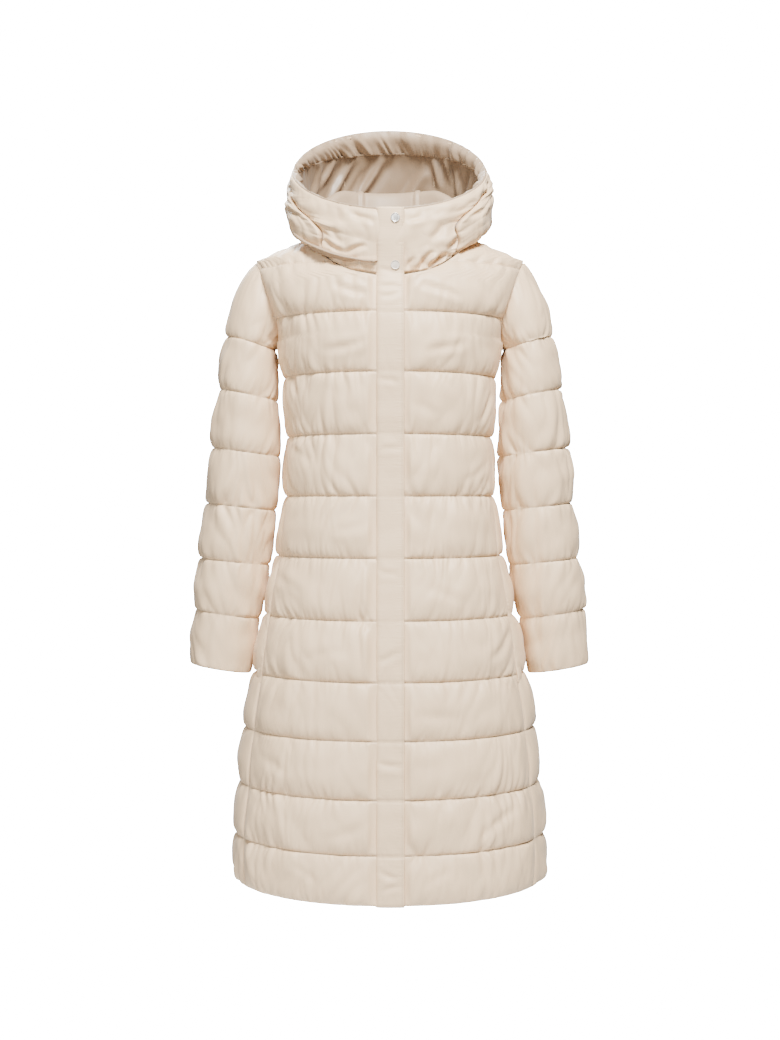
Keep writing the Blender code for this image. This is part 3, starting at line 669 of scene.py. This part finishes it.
def hoodShell(name, node, angle, height, side, puff, creases, seed, alongMiddle, seams):
    base, normal = hoodPoint(angle, height), hoodNormal(angle, height)
    run, up = runLength(base), runLength(base.transpose(1, 0, 2)).T
    total, tall = run[:, -1:], up[-1:]
    along = np.abs(run - total / 2) * np.sign(run - total / 2) if alongMiddle else run
    vertical = np.minimum(np.where(seams[0], run, 1.0), np.where(seams[1], total - run, 1.0))
    toNeck, toRim = up, tall - up
    edgeReach = hoodLook["edgeReach"]
    soft = (1 - np.exp(-vertical / hoodLook["seamReach"])) * (1 - np.exp(-toNeck / edgeReach))
    soft = soft * (1 - np.exp(-toRim / edgeReach))
    out = puff * soft * (1 + 0.3 * softNoise(along / 0.06, up / 0.05, seed))
    out = out + hoodLook["softDepth"] * softNoise(along / 0.035, up / 0.03, seed + 1) * soft
    out = out + gathers(along, toNeck, seed + 2, 1.2) * smoothStep(vertical / 0.006)
    out = out + gathers(up, vertical, seed + 3, 0.9) * smoothStep(toNeck / 0.006) * smoothStep(toRim / 0.006)
    out = out + (gathers(along, toRim, seed + 4, 0.7) * smoothStep(vertical / 0.006)
                 * smoothStep((toRim - 0.004) / 0.016))
    out = out + (creased(along, base[..., 2], creases) * smoothStep(vertical / 0.004)
                 * smoothStep(toNeck / 0.004))
    if name.startswith("hood_side"):  # the side folds over its seam with the collar
        fold = hoodLook["foldDepth"] * np.exp(-run / hoodLook["foldReach"])
        out = out + fold * smoothStep((0.95 - height) / 0.25) * smoothStep((height - 0.25) / 0.2)
    nearest = np.minimum(np.minimum(vertical, toNeck), toRim)
    out = mix(-hoodLook["seamSink"], out, smoothStep(nearest / 0.003))
    points = base + normal * out[..., None]
    # the lower edge goes into the neck seam behind, the upper one under the rim
    points[0, :, 2] -= hoodLook["tuck"] * smoothStep((0.2 - np.cos(angle[0])) / 0.5)
    points[-1, :, 2] -= hoodLook["topTuck"]
    points = mirrored(points, side)
    piece = clothPiece(name, points, turnedRound(along, side), turnedRound(nearest, side), (shell, lining),
                       hoodLook["thickness"])
    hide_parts(node)


def makeHood():
    height = np.linspace(0, 1, hoodLook["rows"])[:, None]
    for hand, side in (("right", -1), ("left", 1)):
        seam = hoodSeam(height, side)
        share = np.linspace(0, 1, hoodLook["columns"])[None, :]
        hoodShell(f"collar_front_{hand}", f"collar_{hand}", mix(0.0 * height, seam, share), height + 0 * share,
                  side, hoodLook["collarPuff"], collarCreases[side], 1000 + side, False, (False, True))
        share = np.linspace(0, 1, hoodLook["sideColumns"])[None, :]
        hoodShell(f"hood_side_{hand}", f"hood_{hand}", mix(seam, gussetAngle, share), height + 0 * share,
                  side, hoodLook["sidePuff"], hoodSideCreases[side], 1100 + side, False, (True, True))
    share = np.linspace(0, 1, hoodLook["backColumns"])[None, :]
    angle = mix(gussetAngle + 0 * height, 2 * math.pi - gussetAngle, share)
    hoodShell("hood_centre_back", "hood_back", angle, height + 0 * share, 1, hoodLook["backPuff"],
              hoodBackCreases, 1200, True, (True, True))


makeHood()

rimLook = {"across": 0.045, "softDepth": 0.0022, "fade": 0.014, "columns": 560, "rows": 34, "thickness": 0.0016}


def makeRim():
    # a padded roll from the hood's outer edge, over the top and down its inner face to a gathered line
    angle = np.linspace(0.02, 2 * math.pi - 0.02, rimLook["columns"])[None, :]
    share = np.linspace(0, 1, rimLook["rows"])[:, None]
    # share, height under the rim, depth inwards, rise over the edge
    course = np.array([(0, -0.020, -0.0004, 0), (0.16, -0.004, -0.0002, 0.0010), (0.32, 0, 0.0048, 0.0026),
                       (0.5, -0.014, 0.0105, 0), (0.75, -0.048, 0.0125, 0), (0.93, -0.078, 0.0118, 0),
                       (1, -0.084, 0.0086, 0)])
    drop, depth, rise = smoothTable(course, share)
    height = np.clip(1 + drop, 0, 1) + 0 * angle
    base, normal = hoodPoint(angle, height), hoodNormal(angle, height)
    base[..., 2] += rise
    along = runLength(base)
    toOuter = rimLook["across"] * share
    toInner = rimLook["across"] - toOuter
    out = gathers(along, toInner, 1400, 2.1) + gathers(along, toOuter + 0.004, 1420, 0.5)
    out = out + rimLook["softDepth"] * softNoise(along / 0.022, share * 1.4, 1440) * np.sin(math.pi * share)
    out = out * smoothStep((toOuter - 0.004) / rimLook["fade"])
    inward = -normal
    inward[..., 2] += 0.6 * (1 - np.abs(2 * share - 0.7))
    points = base - normal * depth[..., None] + inward * out[..., None]
    away = toInner + 0.0015 + 0 * along
    # the roll takes the shell's darkened copy, painted shade
    piece = clothPiece("hood_rim_roll", points, along, away, (rimShadedShell,), rimLook["thickness"])
    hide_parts("hood_rim")


makeRim()

liningPieceLook = {"columns": 250, "rows": 126, "depth": 0.0090, "thickness": 0.0008, "top": 0.925,
                   "rimGap": 0.028, "standTop": 0.335, "tucks": (-0.047, 0.046), "tuckDepth": 0.0022}
# along from the centre back, minus the run down from the rim, width, depth
liningCreases = ((0.008, -0.035, 0.070, -0.125, 0.0060, 0.0075), (0.066, -0.033, 0.126, -0.115, 0.0060, 0.0065),
                 (-0.077, -0.033, -0.100, -0.085, 0.0055, 0.0060), (-0.070, -0.060, -0.018, -0.125, 0.0080, 0.0060),
                 (-0.125, -0.040, -0.150, -0.095, 0.0050, 0.0050), (0.105, -0.030, 0.150, -0.085, 0.0050, 0.0050),
                 (-0.045, -0.095, -0.075, -0.140, 0.0045, 0.0045), (0.040, -0.060, 0.085, -0.130, 0.0035, 0.0040),
                 (0.140, -0.040, 0.170, -0.100, 0.0050, 0.0045), (-0.100, -0.030, -0.128, -0.075, 0.0040, 0.0040))


def makeLining():
    angle = np.linspace(0.12, 2 * math.pi - 0.12, liningPieceLook["columns"])[None, :]
    height = np.linspace(0, liningPieceLook["top"], liningPieceLook["rows"])[:, None] + 0 * angle
    base, normal = hoodPoint(angle, height), hoodNormal(angle, height)
    run, up = runLength(base), runLength(base.transpose(1, 0, 2)).T
    along = run - run[:, -1:] / 2
    toEdge = up[-1:] - up
    fromRim = toEdge + liningPieceLook["rimGap"]
    behind = smoothStep((-np.cos(angle) + 0.15) / 0.4)
    pouch = smoothStep((height - 0.45) / 0.15)
    inwards = 0.0035 * softNoise(along / 0.05 + up / 0.06, up / 0.06, 1500)
    inwards = inwards + 0.0012 * softNoise(along / 0.02, up / 0.03, 1501)
    inwards = inwards * (0.35 + 0.65 * pouch * behind)
    inwards = inwards + creased(along, -fromRim, liningCreases) * pouch * behind * -1
    inwards = inwards + gathers(along, toEdge, 1510, 0.35) * smoothStep((height - 0.3) / 0.2)
    # two stitched tucks up the stand behind the neck
    stand = 1 - smoothStep((height - 0.30) / 0.06)
    for middle in liningPieceLook["tucks"]:
        edge = np.abs(base[..., 0] - middle)
        tuck = liningPieceLook["tuckDepth"] * (1 - smoothStep((edge - 0.0028) / 0.0012))
        tuck = tuck - 0.0012 * np.exp(-((edge - 0.0052) / 0.0011) ** 2)
        inwards = inwards + tuck * stand * behind
    depth = liningPieceLook["depth"] + np.maximum(inwards, -0.004)
    points = base - normal * depth[..., None]
    points[0, :, 2] -= hoodLook["tuck"]
    # seen from inside, so the faces turn inwards
    # the lining's colour carries painted shade
    piece = clothPiece("hood_inner_lining", points[:, ::-1], along[:, ::-1], toEdge[:, ::-1] + 0.004,
                       (lining, rimShadedShell), liningPieceLook["thickness"], innerLining=False)
    standRows = int(liningPieceLook["standTop"] / liningPieceLook["top"] * liningPieceLook["rows"])
    for face in piece.data.polygons:  # the stand behind the neck is cut from the shell's cloth, here in the rim's darkened copy of it, painted shade
        face.material_index = int(face.vertices[0] // liningPieceLook["columns"] < standRows)
    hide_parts("hood_lining")
    return piece


liningPiece = makeLining()
print("coat: hood made")

# placket, zip, pockets and snaps

placketLook = {"sewnEdge": -0.0208, "freeEdge": 0.0222, "lift": 0.0036, "fullness": 0.0026, "columns": 26,
               "rowStep": 0.0026, "thickness": 0.0022, "foot": -1.0155, "stitchInset": 0.0035}
placketCreases = ((-0.019, -0.098, 0.020, -0.104, 0.0040, 0.0014), (-0.018, -0.118, 0.018, -0.109, 0.0040, 0.0012),
                  (-0.020, -0.074, 0.012, -0.080, 0.0035, 0.0012), (-0.018, -0.235, 0.016, -0.246, 0.0040, 0.0010),
                  (-0.016, -0.345, 0.020, -0.338, 0.0040, 0.0009), (-0.019, -0.520, 0.015, -0.531, 0.0045, 0.0010),
                  (-0.020, -0.655, 0.020, -0.643, 0.0045, 0.0011), (-0.019, -0.801, 0.020, -0.812, 0.0045, 0.0016),
                  (-0.018, -0.962, 0.016, -0.972, 0.0040, 0.0016), (-0.014, -0.990, 0.020, -0.981, 0.0040, 0.0014))


def frontFace(x, z):
    # y of the coat's stitched surface at the centre front, from the hem to the top of the collar
    half = section(z, False)[0]
    onBody = bodyPoint(np.minimum(z, neckFront + 0.012), angleAt(np.abs(x), half), False)[..., 1]
    heights = np.linspace(0, 1, 60)
    height = np.interp(z, hoodPoint(np.zeros(60), heights)[:, 2], heights)
    onHood = hoodPoint(np.arcsin(np.clip(np.abs(x) / 0.15, 0, 1)), height)[..., 1]
    return mix(onBody, onHood, smoothStep((z + 0.094) / 0.022))


def placketOut(x, z):
    share = (x - placketLook["sewnEdge"]) / (placketLook["freeEdge"] - placketLook["sewnEdge"])
    rise, tall, _ = channelPlace(z, quiltLines[:-2])
    low, high = rise * tall, (1 - rise) * tall
    quilted = np.where(z < -0.66, 1.0, 0.35) * np.where(z > -0.137, 0.0, 1.0)
    crown = arch(share) ** 0.4
    out = placketLook["lift"] + placketLook["fullness"] * np.where(share < 0.5, crown, 0.35 + 0.65 * crown)
    out = out + 0.0028 * (pillow(rise) - 0.8) * quilted
    line = np.minimum(low, high)
    out = out - 0.0014 * np.exp(-line / 0.0016) * quilted
    out = out + gathers(x + 0.3 * z, line, 1600, 0.35) * quilted
    out = out + 0.0010 * softNoise(x / 0.05, z / 0.028, 1610) + creased(x, z, placketCreases)
    return out - 0.0058 * np.exp(-np.maximum(x - placketLook["sewnEdge"], 0) / 0.0022)


def makePlacket():
    x = np.linspace(placketLook["sewnEdge"], placketLook["freeEdge"], placketLook["columns"])[None, :]
    tall = collarTop + 0.0012 - placketLook["foot"]
    rows = np.linspace(0, 1, round(tall / placketLook["rowStep"]))
    z = (placketLook["foot"] + tall * rows)[:, None] + 0 * x
    y = frontFace(x + 0 * z, z) - placketOut(x, z)
    points = np.stack(np.broadcast_arrays(x, y, z), -1)
    # stitched along its sewn edge and just inside its free one
    toFree = np.abs(placketLook["freeEdge"] - placketLook["stitchInset"] - x)
    away = np.minimum(np.abs(x - placketLook["sewnEdge"]), toFree) + 0 * z
    piece = clothPiece("front_placket", points, z, away, (shell,), placketLook["thickness"])
    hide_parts("placket")
    return piece


placket = makePlacket()

zipLook = {"halfWidth": 0.0125, "depth": 0.0072, "toothPitch": 0.005, "tooth": (0.0050, 0.0016, 0.0026),
           "tapeColour": (0.55, 0.48, 0.40, 1), "toothColour": (0.50, 0.44, 0.37, 1)}


def makeZip():
    tape, _, _ = newMaterial("zipTape", {"Base Color": zipLook["tapeColour"], "Roughness": 0.7})
    nylon, _, _ = newMaterial("zipTeeth", {"Base Color": zipLook["toothColour"], "Roughness": 0.35})
    x = np.linspace(-zipLook["halfWidth"], zipLook["halfWidth"], 7)[None, :]
    z = np.linspace(-1.006, 0.010, 200)[:, None]
    y = frontFace(x + 0 * z, z + 0 * x) + zipLook["depth"]
    points = np.stack(np.broadcast_arrays(x, y, z), -1)
    piece = clothPiece("zip_tape_strip", points, z + 0 * x, 0.01 + 0 * points[..., 0], (tape,), 0.0008)
    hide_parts("front_zip")
    bm = bmesh.new()
    width, deep, tall = zipLook["tooth"]
    for k, level in enumerate(np.arange(-1.0, 0.004, zipLook["toothPitch"] / 2)):
        side = 1 if k % 2 else -1
        made = bmesh.ops.create_cube(bm, size=1)["verts"]
        bmesh.ops.scale(bm, vec=(width, deep, tall * 0.8), verts=made)
        middle = frontFace(np.array(0.0), np.array(level)) + zipLook["depth"] + 0.0017
        bmesh.ops.translate(bm, vec=(side * width * 0.28, float(middle), level), verts=made)
    teeth = newObject("zip_teeth", bm, nylon)
    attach(teeth, "root")
    return piece, teeth


zipTape, zipTeeth = makeZip()

weltLook = {"low": -0.700, "high": -0.540, "width": 0.019, "clear": 0.0030, "thickness": 0.0016}


def makeWelt(hand, side):
    level = np.linspace(weltLook["low"], weltLook["high"], 90)[:, None]
    half, _, _, edge = section(level, True)
    share = np.linspace(0, 1, 14)[None, :]
    angle = edge + 0.004 + share * weltLook["width"] / half * 1.15
    base = bodyPoint(level, angle, True)
    run = runLength(base)
    ends = np.minimum(level - weltLook["low"], weltLook["high"] - level)
    out = weltLook["clear"] * smoothStep((share + 0.12) / 0.35) * (0.55 + 0.45 * smoothStep(ends / 0.012))
    out = out + 0.0012 * softNoise(level / 0.02, share * 1.2, 1700 + side)
    out = out + gathers(level + 0 * share, run, 1710 + side, 0.5)
    points = mirrored(base + bodyNormal(level, angle, True) * out[..., None], side)
    away = np.minimum(run + 0.0015, run[:, -1:] - run) + 0 * level
    piece = clothPiece(f"pocket_strip_{hand}", points, turnedRound(level + 0 * share, side),
                       turnedRound(away, side), (shell,), weltLook["thickness"])
    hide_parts(f"pocket_welt_{hand}")
    return piece


welts = [makeWelt(hand, side) for hand, side in (("right", -1), ("left", 1))]

snapLook = {"x": 0.0087, "radius": 0.0070, "levels": {"upper": 0.0015, "lower": -0.0684}, "height": 0.0024,
            "metalColour": (0.86, 0.83, 0.78, 1), "toneColour": (0.66, 0.58, 0.49, 1), "sink": 0.0003}
# radius and height up the cap, as shares of the whole, from the middle out to the foot
snapProfile = ((0, 0.62), (0.45, 0.60), (0.70, 0.50), (0.78, 0.46), (0.86, 0.86), (0.93, 1.0),
               (0.99, 0.8), (1.0, 0.4), (0.97, 0))


def makeSnap(name, level, material):
    # a pressed cap: a low dome inside a rolled rim
    radius, tall = snapLook["radius"], snapLook["height"]
    bm = bmesh.new()
    verts = [bm.verts.new((radius * r, 0, tall * h)) for r, h in snapProfile]
    edges = [bm.edges.new(pair) for pair in zip(verts, verts[1:])]
    bmesh.ops.spin(bm, geom=verts + edges, cent=(0, 0, 0), axis=(0, 0, 1), angle=2 * math.pi, steps=48,
                   use_merge=True)
    bmesh.ops.remove_doubles(bm, verts=bm.verts[:], dist=1e-6)
    bmesh.ops.holes_fill(bm, edges=[e for e in bm.edges if e.is_boundary])
    bmesh.ops.recalc_face_normals(bm, faces=bm.faces[:])
    x, step = np.array(snapLook["x"]), 0.004
    heights = [np.array(level + d) for d in (0, step)]
    here, above = (float(frontFace(x, z) - placketOut(x, z)) for z in heights)
    normal = Vector((0.02, -1, (here - above) / step * -1)).normalized()
    turn = normal.to_track_quat("Z", "Y").to_matrix()
    bmesh.ops.rotate(bm, verts=bm.verts[:], cent=(0, 0, 0), matrix=turn)
    bmesh.ops.translate(bm, verts=bm.verts[:], vec=Vector((snapLook["x"], here, level)) - normal * snapLook["sink"])
    for face in bm.faces:
        face.smooth = True
    piece = newObject(f"snap_cap_{name}", bm, material)
    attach(piece, "root")
    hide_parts(f"snap_{name}")


metal, _, _ = newMaterial("snapMetal", {"Base Color": snapLook["metalColour"], "Roughness": 0.28,
                                        "Metallic": 0.75})
tone, _, _ = newMaterial("snapTone", {"Base Color": snapLook["toneColour"], "Roughness": 0.38,
                                      "Metallic": 0.1})
makeSnap("upper", snapLook["levels"]["upper"], metal)
makeSnap("lower", snapLook["levels"]["lower"], tone)
print("coat: trims made")

# floor, light and camera

stageLook = {"floorLevel": -1.50, "cameraDistance": 3.0, "cameraLevel": -0.412, "focal": 67.0,
             "shift": (0.0006, -0.023), "skyLight": 0.22, "backdrop": 30.0, "floorReach": 1.6, "floorGlow": 1.2}
# place, what it faces, width and power of each soft light
lights = {"keySoft": ((0.45, -2.2, 2.3), (0, 0, -0.4), 1.0, 450),
          "fillSoft": ((-1.2, -3.0, 0.1), (0, 0, -0.5), 1.6, 62),
          "backSoft": ((-0.6, 2.8, 1.8), (0, 0, -0.4), 2.0, 235)}


def makeStage():
    bm = bmesh.new()
    bmesh.ops.create_grid(bm, x_segments=1, y_segments=1, size=3)
    material, shader, start = newMaterial("paleFloor", {
        "Base Color": (0.95, 0.95, 0.95, 1), "Roughness": 0.9, "Emission Color": (1, 1, 1, 1),
        "Emission Strength": stageLook["floorGlow"]})
    floor = newObject("floor", bm, material)
    floor.location.z = stageLook["floorLevel"]
    place = start.node("ShaderNodeTexCoord", {}, {}, "Object")
    far = place.node("ShaderNodeVectorMath", {"operation": "LENGTH"}, {0: place}, "Value")
    fade = 1 - far / stageLook["floorReach"]
    material.node_tree.links.new(fade.maths("MAXIMUM", 0.0).socket, shader.inputs["Alpha"])
    world = bpy.data.worlds.new("studio")
    bpy.context.scene.world = world
    world.use_nodes = True
    start = Wire(world.node_tree)
    seen = start.node("ShaderNodeLightPath", {}, {}, "Is Camera Ray")
    lit = start.node("ShaderNodeBackground", {}, {"Color": (1, 1, 1, 1), "Strength": stageLook["skyLight"]})
    white = start.node("ShaderNodeBackground", {}, {"Color": (1, 1, 1, 1), "Strength": stageLook["backdrop"]})
    both = start.node("ShaderNodeMixShader", {}, {0: seen, 1: lit, 2: white})
    world.node_tree.links.new(both.socket, world.node_tree.nodes["World Output"].inputs["Surface"])


def addLight(name, place, target, size, energy):
    light = bpy.data.lights.new(name, "AREA")
    light.shape, light.size, light.energy = "SQUARE", size, energy
    lamp = bpy.data.objects.new(name, light)
    lamp.location = place
    lamp.rotation_euler = (Vector(target) - Vector(place)).to_track_quat("-Z", "Y").to_euler()
    bpy.context.scene.collection.objects.link(lamp)


def makeCamera():
    camera = bpy.data.cameras.new("camera")
    camera.sensor_fit, camera.sensor_width, camera.lens = "AUTO", 36.0, stageLook["focal"]
    camera.shift_x, camera.shift_y = stageLook["shift"]
    holder = bpy.data.objects.new("camera", camera)
    holder.location = (0, -stageLook["cameraDistance"], stageLook["cameraLevel"])
    holder.rotation_euler = (math.pi / 2, 0, 0)
    bpy.context.scene.collection.objects.link(holder)
    bpy.context.scene.camera = holder


makeStage()
for name, settings in lights.items():
    addLight(name, *settings)
makeCamera()
print("coat: stage made")
